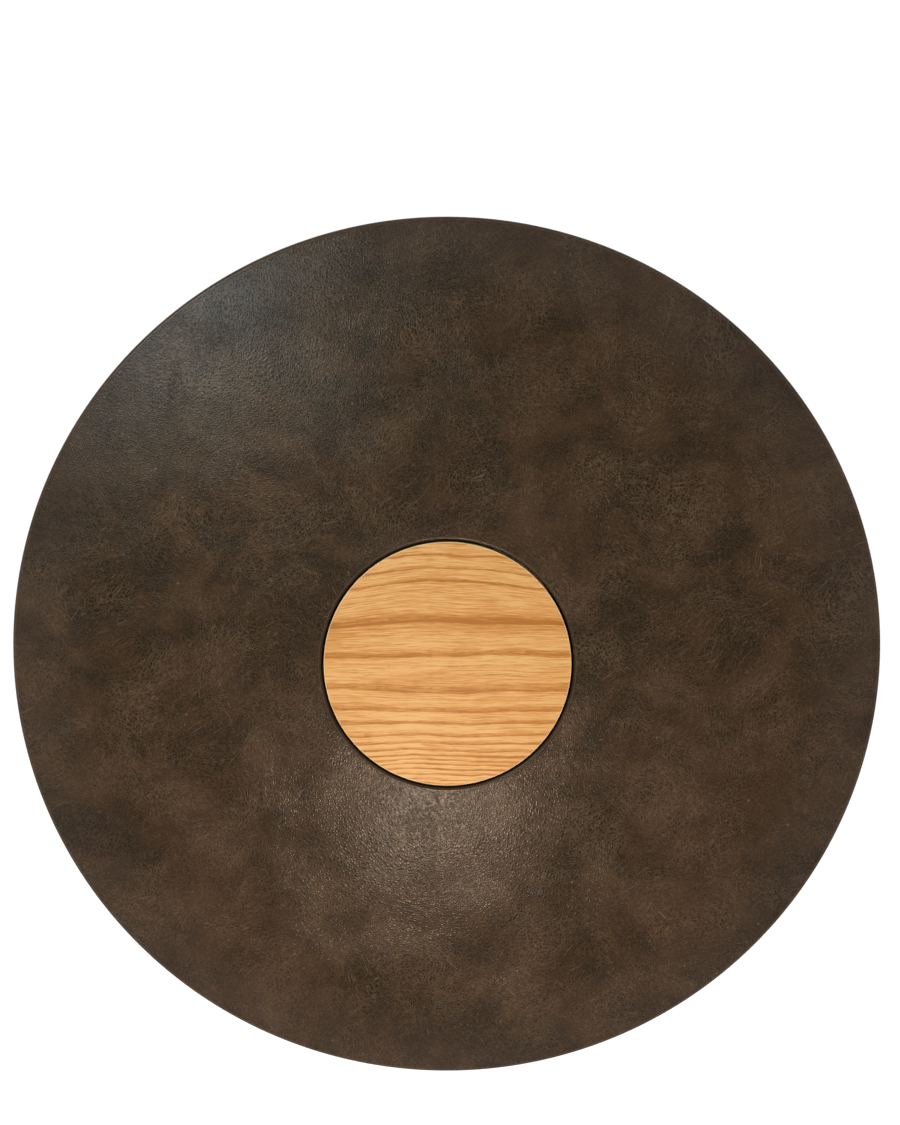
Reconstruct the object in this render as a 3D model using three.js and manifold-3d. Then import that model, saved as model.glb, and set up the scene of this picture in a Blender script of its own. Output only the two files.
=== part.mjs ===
// Round leather-topped table on a waisted pedestal of crossed wood strips.
// Millimetres, +Z up. The origin is on the floor, under the middle of the table.
//
// From the floor up: a ring of two wood hoops grips the feet of the strips inside a folded
// leather band, a hoop at the waist is laced to every crossing, a second gripped ring carries
// the top. The top is a board with a thicker edge, covered by one hide that is turned in under
// the rim and down a round hole, where a loose oak disc lies on a felt ring over a seat plate.

import * as THREE from 'three';
import { mergeVertices } from 'three/addons/utils/BufferGeometryUtils.js';
import Module from 'manifold-3d';

const wasm = await Module();
wasm.setup();

// Whole table
const tableHeight = 750;
const topDiameter = 1000;
const fitGap = 0.3; // left between pieces that lie against each other
const topSegments = 64; // facets of the round pieces of the top
const hoopSegments = 48; // facets of the hoops and bands of the base
const cutOverrun = 5; // how far a cutting tool runs past the face it opens
const weldTolerance = 0.001; // corners closer than this are one corner
const tightestMitreShare = 0.5; // limits how far a sharp corner of a skin reaches

// Leather cover of the top
const coverThickness = 2;
const rimFoldRadius = 4;
const holeFoldRadius = 3.5;
const hemWidth = 45;
const foldSteps = 2;

// Board under the leather, and the ring that thickens its edge
const boardThickness = 22;
const edgeRingThickness = 14;
const edgeRingWidth = 70;

// Centre disc, its felt and its seat plate
const discDiameter = 285.5;
const discGap = 2; // open joint between the disc and the leather of the hole
const discDrop = 0.4; // how far the disc's face lies below the leather
const discEase = 0.8; // eased edge of the disc
const feltThickness = 1.5;
const feltWidth = 40;
const feltMargin = 12; // from the disc's edge to the felt
const seatPlateLap = 28; // how far the seat plate reaches past the hole, under the board
const seatPlateThickness = 12;
const pushHoleDiameter = 60; // fingers push the disc up through it

// Lattice of crossed strips
const ringRadius = 290; // middle of the lattice, at the ends of the strips
const stripPairs = 14;
const pitchesPerStrip = 2; // how many strip places a strip travels round from foot to head
const stripWidth = 30;
const stripThickness = 6;
const layerGap = 0.9; // between the inner and the outer layer of strips
const stripSteps = 10;

// Hoops
const gripHeight = 50; // height of the two hoops of an end ring
const innerHoopThickness = 12;
const outerHoopThickness = 8;
const hoopEase = 1.5; // eased corner where the leather folds over a hoop
const waistHoopThickness = 10;
const waistHoopHeight = 30;

// Folded leather bands of the end rings
const bandThickness = 2.3;
const bandFoldRadius = 3.5;

// Lacing at the waist
const laceWidth = 8;
const laceThickness = 2.6;
const laceClearance = 0.8;

// Blocks that hold the top inside the upper ring
const blockCount = 4;
const blockWidth = 60;
const blockDepth = 34;
const blockHeight = 40;

// Countersunk wood screws
const screwShankRadius = 2.2;
const screwHeadRadius = 4.4;
const screwHeadRim = 0.4;
const screwHeadDepth = 2.8; // below the rim
const screwPointLength = 6;
const screwClearance = 0.3;
const screwSegments = 10;
const seatScrewCount = 4;
const boardScrewBite = 15; // depth in the board
const hoopScrewBite = 9; // depth in the inner hoop

// Levels and radii that follow from the sizes above
const topRadius = topDiameter / 2;
const discRadius = discDiameter / 2;
const holeRadius = discRadius + discGap;
const boardTop = tableHeight - coverThickness - fitGap;
const boardBottom = boardTop - boardThickness;
const boardRadius = topRadius - coverThickness - fitGap;
const boardHoleRadius = holeRadius + coverThickness + fitGap;
const edgeRingTop = boardBottom - fitGap;
const edgeRingBottom = edgeRingTop - edgeRingThickness;
const rimBottom = edgeRingBottom - fitGap - coverThickness;
const seatPlateTop = boardBottom - fitGap;
const seatPlateRadius = boardHoleRadius + seatPlateLap;
const feltBottom = seatPlateTop + fitGap;
const discBottom = feltBottom + feltThickness + fitGap;
const discTop = tableHeight - discDrop;

const pedestalTop = boardBottom - fitGap;
const stripFoot = bandThickness + fitGap;
const stripHead = pedestalTop - bandThickness - fitGap;
const waistLevel = pedestalTop / 2;
const halfTwist = (Math.PI / stripPairs) * pitchesPerStrip;
const stripReach = (stripHead - stripFoot) / 2;
const waistRadius = ringRadius * Math.cos(halfTwist);
const flare = (ringRadius * Math.sin(halfTwist)) / stripReach;
const leanAngle = Math.atan2(2 * ringRadius * Math.sin(halfTwist), stripHead - stripFoot);
const halfStrip = stripWidth / 2 / Math.cos(leanAngle); // half width of a level section

// Radial places of the layers, measured from the middle of the lattice
const innerFace = -(layerGap / 2 + stripThickness);
const outerFace = layerGap / 2 + stripThickness;

const waistHoopFace = waistRadius + innerFace - fitGap;

// Materials
const material = (color, roughness, metalness = 0) =>
	new THREE.MeshStandardMaterial({ color, roughness, metalness });
const coverLeather = material(0x483a2e, 0.55);
const bandLeather = material(0x3d2f25, 0.6);
const oak = material(0xda9d5e, 0.5);
const stripWood = material(0xb27a4a, 0.6);
const hoopWood = material(0x8f5f3a, 0.65);
const plywood = material(0xc9a877, 0.7);
const felt = material(0x3a3a38, 0.95);
const rawhide = material(0xd2b78a, 0.65);
const screwSteel = material(0xb9a05a, 0.35, 0.9);

const table = new THREE.Group();

function add(name, geometry, finish, parent = table) {
	const mesh = new THREE.Mesh(geometry, finish);
	mesh.name = name;
	parent.add(mesh);
	return mesh;
}

// Radius of the lattice's middle surface at a level: straight strips set askew round a ring
// make a hyperboloid, narrowest at the waist.
function latticeRadius(level) {
	return Math.hypot(waistRadius, flare * (level - waistLevel));
}

// Radius of a polygon's corners whose flats stay clear of a circle of the given radius.
function aroundCircle(radius) {
	return radius / Math.cos(Math.PI / hoopSegments);
}

// Points of a circular fold in a profile, in steps from one angle to another.
function fold(radius, level, bend, from, to) {
	const points = [];
	for (let i = 0; i <= foldSteps; i++) {
		const angle = from + ((to - from) * i) / foldSteps;
		points.push([radius + bend * Math.cos(angle), level + bend * Math.sin(angle)]);
	}
	return points;
}

// The same profile line, moved sideways by a distance: to its left when the distance is positive.
function beside(path, distance) {
	return path.map(([radius, level], i) => {
		const before = path[Math.max(i - 1, 0)];
		const after = path[Math.min(i + 1, path.length - 1)];
		const here = new THREE.Vector2(radius, level);
		const arriving = here.clone().sub(new THREE.Vector2(...before)).normalize();
		const leaving = new THREE.Vector2(...after).sub(here).normalize();
		if (i === 0) arriving.copy(leaving);
		if (i === path.length - 1) leaving.copy(arriving);
		const along = arriving.clone().add(leaving).normalize();
		const reach = distance / Math.max(along.dot(leaving), tightestMitreShare);
		return [radius - along.y * reach, level + along.x * reach];
	});
}

// A turned solid from a closed profile of [radius, level] points.
function turned(profile, segments) {
	const area = profile.reduce((sum, [r, z], i) => {
		const [nextR, nextZ] = profile[(i + 1) % profile.length];
		return sum + r * nextZ - nextR * z;
	}, 0);
	const points = (area > 0 ? profile : [...profile].reverse()).map(([r, z]) => new THREE.Vector2(r, z));
	points.push(points[0].clone());
	return new THREE.LatheGeometry(points, segments).rotateX(Math.PI / 2);
}

// A skin of even thickness that follows a profile line, with its outer face on the line's right.
function skin(path, thickness, segments) {
	return turned([...path, ...beside(path, thickness).reverse()], segments);
}

// One closed body through a row of rings, each with the same number of corners. The faces between
// two rings are split along one diagonal or the other: on a twisted strip one of them bulges.
function loft(rings, otherDiagonal = false) {
	const corners = rings[0].length;
	const positions = rings.flat().flatMap((p) => [p.x, p.y, p.z]);
	const index = [];
	for (let i = 0; i < rings.length - 1; i++) {
		for (let j = 0; j < corners; j++) {
			const a = i * corners + j;
			const b = i * corners + ((j + 1) % corners);
			if (otherDiagonal) {
				index.push(a, b, b + corners, a, b + corners, a + corners);
			} else {
				index.push(a, b, a + corners, b, b + corners, a + corners);
			}
		}
	}
	const last = (rings.length - 1) * corners;
	for (let j = 1; j < corners - 1; j++) {
		index.push(0, j + 1, j);
		index.push(last, last + j, last + j + 1);
	}
	return new THREE.BufferGeometry()
		.setAttribute('position', new THREE.Float32BufferAttribute(positions, 3))
		.setIndex(index);
}

// Booleans
function solidOf(geometry) {
	const bare = new THREE.BufferGeometry().setAttribute('position', geometry.getAttribute('position'));
	bare.setIndex(geometry.index);
	const merged = mergeVertices(bare, weldTolerance);
	return new wasm.Manifold(
		new wasm.Mesh({
			numProp: 3,
			vertProperties: merged.attributes.position.array,
			triVerts: new Uint32Array(merged.index.array)
		})
	);
}

function geometryOf(solid) {
	const mesh = solid.getMesh();
	return new THREE.BufferGeometry()
		.setAttribute('position', new THREE.BufferAttribute(mesh.vertProperties, 3))
		.setIndex(new THREE.BufferAttribute(mesh.triVerts, 1));
}

function cut(geometry, tools) {
	return geometryOf(tools.reduce((solid, tool) => solid.subtract(solidOf(tool)), solidOf(geometry)));
}

// Screws: the middle of the head's face is at the origin and the point looks along +Z.
function screwProfile(length, spare, headLevel) {
	const shank = screwShankRadius + spare;
	const head = screwHeadRadius + spare;
	return [
		[0, headLevel],
		[head, headLevel],
		[head, screwHeadRim],
		[shank, screwHeadRim + screwHeadDepth],
		[shank, length - screwPointLength],
		[0, length + spare]
	];
}

// A screw and the hole that it needs, with its head at a level, a radius and a sideways shift
// from the azimuth, pointing up or outward.
function screwSet(length, { radius, level, shift = 0, azimuth, outward = false }) {
	const place = new THREE.Matrix4()
		.makeRotationZ(azimuth)
		.multiply(new THREE.Matrix4().makeTranslation(radius, shift, level))
		.multiply(new THREE.Matrix4().makeRotationY(outward ? Math.PI / 2 : 0));
	const body = (spare, headLevel) =>
		turned(screwProfile(length, spare, headLevel), screwSegments).applyMatrix4(place);
	return { screw: body(0, 0), hole: body(screwClearance, -cutOverrun) };
}

const evenly = (count, make) => Array.from({ length: count }, (_, i) => make((i * 2 * Math.PI) / count));
const holes = (sets) => sets.map((set) => set.hole);

// Seat screws run up through the seat plate into the board.
const seatScrewLength = seatPlateThickness + fitGap + boardScrewBite;
const seatScrewRadius = boardHoleRadius + seatPlateLap / 2;
const seatScrews = evenly(seatScrewCount, (azimuth) =>
	screwSet(seatScrewLength, {
		radius: seatScrewRadius,
		level: seatPlateTop - seatPlateThickness,
		azimuth
	})
);

// Each block has one screw out into the inner hoop of the upper ring and one up into the board.
const blockBottom = pedestalTop - blockHeight;
const blockLevel = blockBottom + blockHeight / 2;
const bandInnerOffset = innerFace - fitGap - innerHoopThickness - fitGap - bandThickness;
const blockFaceRadius = latticeRadius(blockLevel) + bandInnerOffset - fitGap - blockDepth;
const hoopScrewLength = blockDepth + fitGap + bandThickness + fitGap + hoopScrewBite;
const hoopScrews = evenly(blockCount, (azimuth) =>
	screwSet(hoopScrewLength, {
		radius: blockFaceRadius,
		level: blockLevel,
		shift: -blockWidth / 4,
		azimuth,
		outward: true
	})
);
const blockScrewLength = blockHeight + fitGap + boardScrewBite;
const blockScrews = evenly(blockCount, (azimuth) =>
	screwSet(blockScrewLength, {
		radius: blockFaceRadius + blockDepth / 2,
		level: blockBottom,
		shift: blockWidth / 4,
		azimuth
	})
);

// Board: a round board with the hole for the disc, its upper edges rounded for the leather.
function boardGeometry() {
	const rimBend = rimFoldRadius - coverThickness;
	const holeBend = holeFoldRadius - coverThickness;
	const profile = [
		[boardHoleRadius, boardBottom],
		[boardRadius, boardBottom],
		...fold(boardRadius - rimBend, boardTop - rimBend, rimBend, 0, Math.PI / 2),
		...fold(boardHoleRadius + holeBend, boardTop - holeBend, holeBend, Math.PI / 2, Math.PI)
	];
	return cut(turned(profile, topSegments), holes([...seatScrews, ...blockScrews]));
}

function edgeRingGeometry() {
	const inner = boardRadius - edgeRingWidth;
	const bend = rimFoldRadius - coverThickness;
	const profile = [
		[inner, edgeRingBottom],
		...fold(boardRadius - bend, edgeRingBottom + bend, bend, -Math.PI / 2, 0),
		[boardRadius, edgeRingTop],
		[inner, edgeRingTop]
	];
	return turned(profile, topSegments);
}

// Leather cover: hem under the rim, side, top, and the turn down into the hole.
function coverGeometry() {
	const path = [
		[topRadius - hemWidth, rimBottom],
		...fold(topRadius - rimFoldRadius, rimBottom + rimFoldRadius, rimFoldRadius, -Math.PI / 2, 0),
		...fold(topRadius - rimFoldRadius, tableHeight - rimFoldRadius, rimFoldRadius, 0, Math.PI / 2),
		...fold(holeRadius + holeFoldRadius, tableHeight - holeFoldRadius, holeFoldRadius, Math.PI / 2, Math.PI),
		[holeRadius, boardBottom + fitGap]
	];
	return skin(path, coverThickness, topSegments);
}

function discGeometry() {
	const profile = [
		[0, discBottom],
		[discRadius - discEase, discBottom],
		[discRadius, discBottom + discEase],
		[discRadius, discTop - discEase],
		[discRadius - discEase, discTop],
		[0, discTop]
	];
	return turned(profile, topSegments);
}

// Profile of a plain ring between two radii and two levels.
function ringProfile(inner, outer, low, high) {
	return [
		[inner, low],
		[outer, low],
		[outer, high],
		[inner, high]
	];
}

function feltGeometry() {
	const outer = discRadius - feltMargin;
	return turned(ringProfile(outer - feltWidth, outer, feltBottom, feltBottom + feltThickness), topSegments);
}

function seatPlateGeometry() {
	const low = seatPlateTop - seatPlateThickness;
	const profile = ringProfile(pushHoleDiameter / 2, seatPlateRadius, low, seatPlateTop);
	return cut(turned(profile, topSegments), holes(seatScrews));
}

// A strip: level sections along a straight line that leans round the ring, each turned to face
// outward, so the strip is flat against both rings and twists between them as a thin lath does.
function stripGeometry(startAzimuth, turnSense, nearOffset, farOffset) {
	const end = (azimuth, level) =>
		new THREE.Vector3(ringRadius * Math.cos(azimuth), ringRadius * Math.sin(azimuth), level);
	const foot = end(startAzimuth, stripFoot);
	const head = end(startAzimuth + turnSense * 2 * halfTwist, stripHead);
	const rings = [];
	for (let i = 0; i <= stripSteps; i++) {
		const middle = foot.clone().lerp(head, i / stripSteps);
		const out = new THREE.Vector3(middle.x, middle.y, 0).normalize();
		const side = new THREE.Vector3(-out.y, out.x, 0);
		const corner = (offset, width) =>
			middle.clone().addScaledVector(out, offset).addScaledVector(side, width);
		rings.push([
			corner(nearOffset, -halfStrip),
			corner(farOffset, -halfStrip),
			corner(farOffset, halfStrip),
			corner(nearOffset, halfStrip)
		]);
	}
	return loft(rings, turnSense > 0);
}

// A hoop whose faces follow the lattice from the ring's closed edge to its open edge, with its
// corner eased where the leather folds over it.
function hoopGeometry(closed, open, leatherOffset, gripOffset) {
	const inward = Math.sign(gripOffset - leatherOffset) * hoopEase;
	const eased = closed + Math.sign(open - closed) * hoopEase;
	const profile = [
		[latticeRadius(closed) + leatherOffset + inward, closed],
		[latticeRadius(eased) + leatherOffset, eased],
		[latticeRadius(open) + leatherOffset, open],
		[latticeRadius(open) + gripOffset, open],
		[latticeRadius(closed) + gripOffset, closed]
	];
	return turned(profile, hoopSegments);
}

// Both end rings are the same, one of them upside down. A ring's levels run from its closed
// edge, where the band folds over the hoops, to its open edge, where the strips come out.
const outerHoopFace = aroundCircle(Math.hypot(ringRadius + outerFace, halfStrip)) - ringRadius + fitGap;
const innerHoopOffsets = [innerFace - fitGap - innerHoopThickness, innerFace - fitGap];
const outerHoopOffsets = [outerHoopFace + outerHoopThickness, outerHoopFace];
const lowerRingLevels = [stripFoot, stripFoot + gripHeight];
const upperRingLevels = [stripHead, stripHead - gripHeight];

function bandGeometry(closed, open) {
	const sense = Math.sign(closed - open); // from the hoops towards the band's closed edge
	const clear = fitGap + bandThickness;
	const inside = (level) => latticeRadius(level) + innerHoopOffsets[0] - clear;
	const outside = (level) => latticeRadius(level) + outerHoopOffsets[0] + clear;
	const foldLevel = closed + sense * (clear - bandFoldRadius);
	const bend = (radius, share) => fold(radius, 0, bandFoldRadius, ...share);
	const place = ([radius, level]) => [radius, foldLevel + sense * level];
	const innerBend = bend(inside(foldLevel) + bandFoldRadius, [Math.PI, Math.PI / 2]).map(place);
	const outerBend = bend(outside(foldLevel) - bandFoldRadius, [Math.PI / 2, 0]).map(place);
	const path = [[inside(open), open], ...innerBend, ...outerBend, [outside(open), open]];
	return skin(path, -sense * bandThickness, hoopSegments);
}

// Lacing: one thong that runs across the face of every crossing at the waist, over the hoop's
// edge, down behind the hoop and out again. Shares of the space from one crossing to the next,
// of the half height of the hoop, and of the depth from the outside to the inside.
const laceStepShares = [
	[-0.28, -1.15, 0],
	[-0.14, -0.5, 0],
	[0, 0, 0],
	[0.14, 0.5, 0],
	[0.28, 1.15, 0],
	[0.35, 1.45, 0.45],
	[0.43, 1.2, 1],
	[0.5, 0, 1],
	[0.57, -1.2, 1],
	[0.65, -1.45, 0.45]
];
const laceStepsPerStitch = 12;

function lacePath() {
	const outside = Math.hypot(waistRadius + outerFace, halfStrip) + laceClearance + laceThickness / 2;
	const hoopFlat = (waistHoopFace - waistHoopThickness) * Math.cos(Math.PI / hoopSegments);
	const inside = hoopFlat - laceClearance - laceThickness / 2;
	const rise = waistHoopHeight / 2 + laceClearance + laceThickness / 2;
	const pitch = (2 * Math.PI) / stripPairs;
	const firstCrossing = pitchesPerStrip / 2;
	const points = [];
	for (let stitch = 0; stitch < stripPairs; stitch++) {
		for (const [along, height, depth] of laceStepShares) {
			const azimuth = (firstCrossing + stitch + along) * pitch;
			const radius = outside + (inside - outside) * depth;
			const level = waistLevel + rise * height;
			points.push(new THREE.Vector3(radius * Math.cos(azimuth), radius * Math.sin(azimuth), level));
		}
	}
	return { curve: new THREE.CatmullRomCurve3(points, false, 'centripetal'), outside, inside, rise };
}

function laceGeometry() {
	const { curve, outside, inside, rise } = lacePath();
	const steps = stripPairs * laceStepsPerStitch;
	const core = (outside + inside) / 2;
	const depth = (outside - inside) / 2;
	const rings = [];
	const centres = [];
	for (let i = 0; i <= steps; i++) {
		const here = curve.getPointAt(i / steps);
		const along = curve.getTangentAt(i / steps);
		const azimuth = Math.atan2(here.y, here.x);
		const across = (Math.hypot(here.x, here.y) - core) / depth;
		const up = (here.z - waistLevel) / rise;
		const normal = new THREE.Vector3(
			(Math.cos(azimuth) * across ** 3) / depth,
			(Math.sin(azimuth) * across ** 3) / depth,
			up ** 3 / rise
		);
		normal.addScaledVector(along, -normal.dot(along)).normalize();
		const side = new THREE.Vector3().crossVectors(normal, along);
		const corner = (across, out) =>
			here
				.clone()
				.addScaledVector(side, (across * laceWidth) / 2)
				.addScaledVector(normal, (out * laceThickness) / 2);
		rings.push([corner(-1, -1), corner(1, -1), corner(1, 1), corner(-1, 1)]);
		centres.push(here);
	}
	reportLeastGap('waist lacing', centres, laceStepsPerStitch, laceWidth);
	return loft(rings);
}

// Least space between places of a lacing that are at least half a stitch apart.
function reportLeastGap(name, centres, perLoop, width) {
	let least = Infinity;
	centres.forEach((a, i) => {
		for (let j = i + Math.ceil(perLoop / 2); j < centres.length; j++) {
			least = Math.min(least, a.distanceTo(centres[j]) - width);
		}
	});
	console.log(`${name}: least gap to itself ${least.toFixed(1)} mm`);
}

// A block: its back follows the leather inside the upper ring, its top lies on the board.
function blockGeometry(azimuth) {
	const reach = blockDepth + blockHeight;
	const box = new THREE.BoxGeometry(reach, blockWidth, blockHeight)
		.translate(blockFaceRadius + reach / 2, 0, blockLevel)
		.rotateZ(azimuth);
	const inside = (level) => latticeRadius(level) + bandInnerOffset - fitGap;
	const low = blockBottom - cutOverrun;
	const high = pedestalTop + cutOverrun;
	const profile = [
		[0, low],
		[inside(low), low],
		[inside(blockLevel), blockLevel],
		[inside(high), high],
		[0, high]
	];
	const room = turned(profile, hoopSegments);
	return geometryOf(solidOf(box).intersect(solidOf(room)));
}

// The top
add('top_board', boardGeometry(), plywood);
add('top_edge_ring', edgeRingGeometry(), plywood);
add('top_leather_cover', coverGeometry(), coverLeather);
add('centre_disc', discGeometry(), oak);
add('disc_felt_ring', feltGeometry(), felt);
add('disc_seat_plate', seatPlateGeometry(), plywood);
seatScrews.forEach(({ screw }, i) => add(`seat_screw_${i + 1}`, screw, screwSteel));

// The blocks, with both their screws
evenly(blockCount, (azimuth) => blockGeometry(azimuth)).forEach((block, i) => {
	const sets = [hoopScrews[i], blockScrews[i]];
	add(`top_block_${i + 1}`, cut(block, holes(sets)), plywood);
	add(`hoop_screw_${i + 1}`, hoopScrews[i].screw, screwSteel);
	add(`block_screw_${i + 1}`, blockScrews[i].screw, screwSteel);
});

// The end rings
for (const [name, levels, tools] of [
	['lower', lowerRingLevels, []],
	['upper', upperRingLevels, holes(hoopScrews)]
]) {
	add(`${name}_inner_hoop`, cut(hoopGeometry(...levels, ...innerHoopOffsets), tools), hoopWood);
	add(`${name}_outer_hoop`, hoopGeometry(...levels, ...outerHoopOffsets), hoopWood);
	add(`${name}_leather_band`, cut(bandGeometry(...levels), tools), bandLeather);
}

// The waist
const waistHoopProfile = ringProfile(
	waistHoopFace - waistHoopThickness,
	waistHoopFace,
	waistLevel - waistHoopHeight / 2,
	waistLevel + waistHoopHeight / 2
);
add('waist_hoop', turned(waistHoopProfile, hoopSegments), hoopWood);
add('waist_lacing', laceGeometry(), rawhide);

// The lattice: inner strips lean one way and outer strips the other
for (let i = 0; i < stripPairs; i++) {
	const azimuth = (i * 2 * Math.PI) / stripPairs;
	const number = String(i + 1).padStart(2, '0');
	add(`inner_strip_${number}`, stripGeometry(azimuth, 1, innerFace, -layerGap / 2), stripWood);
	add(`outer_strip_${number}`, stripGeometry(azimuth, -1, layerGap / 2, outerFace), stripWood);
}

export default table;
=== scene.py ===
"""Looks of a round leather-topped table on a waisted pedestal of crossed laths.

Everything is in metres, +Z up, with the floor at zero. Each piece takes its place and size from
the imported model: hide, wood, lacing and fasteners are modelled around it, never moved.
"""

import math
from collections import namedtuple

import bmesh
import bpy
import numpy as np
from bpy.props import FloatProperty, FloatVectorProperty, IntProperty, PointerProperty
from mathutils import Matrix, Vector, noise


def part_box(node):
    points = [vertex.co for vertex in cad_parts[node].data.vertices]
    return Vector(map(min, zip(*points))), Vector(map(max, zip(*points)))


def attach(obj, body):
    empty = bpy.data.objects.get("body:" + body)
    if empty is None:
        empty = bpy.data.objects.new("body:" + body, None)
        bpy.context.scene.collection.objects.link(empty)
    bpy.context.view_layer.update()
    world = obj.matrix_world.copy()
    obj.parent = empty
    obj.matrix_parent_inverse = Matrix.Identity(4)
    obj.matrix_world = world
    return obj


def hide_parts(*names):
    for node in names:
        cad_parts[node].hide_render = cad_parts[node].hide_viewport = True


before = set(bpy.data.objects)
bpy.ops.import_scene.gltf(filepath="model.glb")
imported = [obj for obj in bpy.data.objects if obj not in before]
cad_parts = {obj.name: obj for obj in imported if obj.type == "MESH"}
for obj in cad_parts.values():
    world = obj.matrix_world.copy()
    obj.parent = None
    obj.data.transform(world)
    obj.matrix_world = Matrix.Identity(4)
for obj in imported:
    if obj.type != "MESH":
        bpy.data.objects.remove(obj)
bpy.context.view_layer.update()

bl_info = {
    "name": "Equipale table",
    "version": (1, 0, 0),
    "blender": (4, 5, 0),
    "location": "3D View > Sidebar > Equipale table",
    "description": "Builds the hide, wood and lacing of a round equipale table around its model",
    "category": "Add Mesh",
}

TURN = 2 * math.pi
SAME_PLACE = 2e-5  # points this close lie at one level
SHARP_EDGE = math.radians(38)
SMOOTH_ROUND = 256  # facets of a turned piece
MM = 0.001
FIT_GAP = 0.3 * MM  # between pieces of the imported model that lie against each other
COVER = "top_leather_cover"


# Tints without a setting of their own

BLACK = (0.0, 0.0, 0.0)
WHITE = (1.0, 1.0, 1.0)
FLOOR = (0.88, 0.88, 0.88)
# Painted highlight on the oak disc's rounded edge
OAK_EDGE_HIGHLIGHT = (0.93, 0.68, 0.37)
BIRCH = (0.66, 0.47, 0.28)
BIRCH_FIGURE = (0.42, 0.26, 0.13)
BIRCH_FIBRE = (0.35, 0.21, 0.1)
BIRCH_PLY = (0.62, 0.44, 0.25)
BIRCH_GLUE = (0.34, 0.19, 0.085)
WOOL_DARK = (0.012, 0.012, 0.011)
WOOL_LIGHT = (0.085, 0.083, 0.078)
RAWHIDE_STAIN = (0.2, 0.105, 0.045)
BRASS = (0.56, 0.37, 0.13)
BRASS_DULL = (0.28, 0.18, 0.07)
IRON = (0.12, 0.115, 0.11)
IRON_DULL = (0.05, 0.045, 0.04)


# Settings that a user would change

def colour(name, description, value):
    """A colour setting."""
    return FloatVectorProperty(
        name=name, description=description, default=value, subtype="COLOR", min=0.0, max=1.0
    )


def length(name, description, value):
    """A length setting, in metres."""
    return FloatProperty(name=name, description=description, default=value, min=0.0, unit="LENGTH")


def share(name, description, value):
    """A setting from none to all."""
    return FloatProperty(
        name=name, description=description, default=value, min=0.0, max=1.0, subtype="FACTOR"
    )


class TopLook(bpy.types.PropertyGroup):
    """Hide and oak of the table top."""

    hide_dark: colour("Dark hide", "Darkest patches of the hide", (0.0235, 0.0153, 0.0092))
    hide_brown: colour("Brown hide", "Most of the hide", (0.0395, 0.0231, 0.0133))
    hide_worn: colour("Worn hide", "Rubbed patches of the hide", (0.0595, 0.0350, 0.0203))
    hide_hair: colour("Grain lines", "Fine light lines of the grain", (0.165, 0.112, 0.072))
    # Painted sheen: a neutral grey haze mixed into the hide's colour towards the rim, in place of
    # the window's reflection there.
    hide_rim_sheen: colour("Painted rim sheen", "Grey sheen painted into the hide towards the rim", (0.075, 0.062, 0.060))
    hide_gloss: share("Hide gloss", "How much the wax on the hide mirrors", 0.113)
    hide_swell: length("Swell of the hide", "Height of the slow waves of the hide", 0.25 * MM)
    crease: length("Crease", "Height of the crease where the hide turns down", 0.08 * MM)
    grain: length("Grain size", "Size of the pebbles of the hide", 3.0 * MM)
    oak_pale: colour("Pale oak", "Lightest wood of the disc", (0.785, 0.463, 0.187))
    oak_light: colour("Light oak", "Oak between its growth lines", (0.69, 0.334, 0.099))
    oak_dark: colour("Dark oak", "Growth lines of the oak", (0.44, 0.160, 0.024))
    disc_edge: length("Disc edge", "Rounding of the disc's upper edge", 0.9 * MM)


class BaseLook(bpy.types.PropertyGroup):
    """Wood, leather and thong of the pedestal."""

    lath_light: colour("Light cedar", "Laths between their grain lines", (0.42, 0.20, 0.085))
    lath_dark: colour("Dark cedar", "Grain lines of the laths", (0.20, 0.078, 0.030))
    hoop_light: colour("Light hoop wood", "Hoops between their grain lines", (0.30, 0.145, 0.065))
    hoop_dark: colour("Dark hoop wood", "Grain lines of the hoops", (0.13, 0.055, 0.024))
    thong: colour("Thong", "Rawhide of the lacing and stitches", (0.52, 0.36, 0.19))
    lath_edge: length("Lath edge", "Rounding of the laths' edges", 1.3 * MM)
    lath_uneven: length("Uneven laths", "How much narrower a split lath gets in places", 1.8 * MM)
    stitch: length("Stitch", "Length of a stitch of the bands", 13 * MM)
    stitch_gap: length("Stitch gap", "Space between two stitches", 9 * MM)
    tacks: IntProperty(name="Tacks", description="Tacks under the rim", default=112, min=8)


class StageLook(bpy.types.PropertyGroup):
    """Camera and light."""

    camera_height: length("Camera height", "Height of the camera above the table top", 0.9055)
    ambient: share("Ambient light", "Light from all round", 0.22)
    lamp_level: share("Lamp level", "Light that the ceiling lamp gives the top", 0.605)
    lamp_tint: colour("Lamp tint", "Tint of the ceiling lamp", (1.0, 0.79, 0.60))
    window_level: share("Window level", "Light that the window gives the top", 0.365)
    window_tint: colour("Window tint", "Tint of the light from the window", (0.83, 1.0, 0.97))
    side_level: share("Side level", "Light that each side lamp gives the base", 0.34)


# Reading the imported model

def nodes_named(words):
    """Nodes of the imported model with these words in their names, in order."""
    return sorted(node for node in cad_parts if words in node)


def corners(node):
    """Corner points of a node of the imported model, each once."""
    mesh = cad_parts[node].data
    points = np.empty(len(mesh.vertices) * 3, np.float32)
    mesh.vertices.foreach_get("co", points)
    return np.unique(np.round(points.reshape(-1, 3).astype(float), 6), axis=0)


def at_level(points, level):
    """The points that lie at a level."""
    return points[np.abs(points[:, 2] - level) < SAME_PLACE]


def radii_at(node, level):
    """Least and greatest radius of a node at a level where it has corners."""
    points = at_level(corners(node), level)
    radii = np.hypot(points[:, 0], points[:, 1])
    return radii.min(), radii.max()


def least_radius(node):
    """How far a node's nearest corner lies from the axis."""
    points = corners(node)
    return np.hypot(points[:, 0], points[:, 1]).min()


def levels_of(node):
    """Lowest and highest level of a node."""
    low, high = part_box(node)
    return low.z, high.z


LathEnds = namedtuple("LathEnds", "azimuth turn radius width thickness low high")


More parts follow.
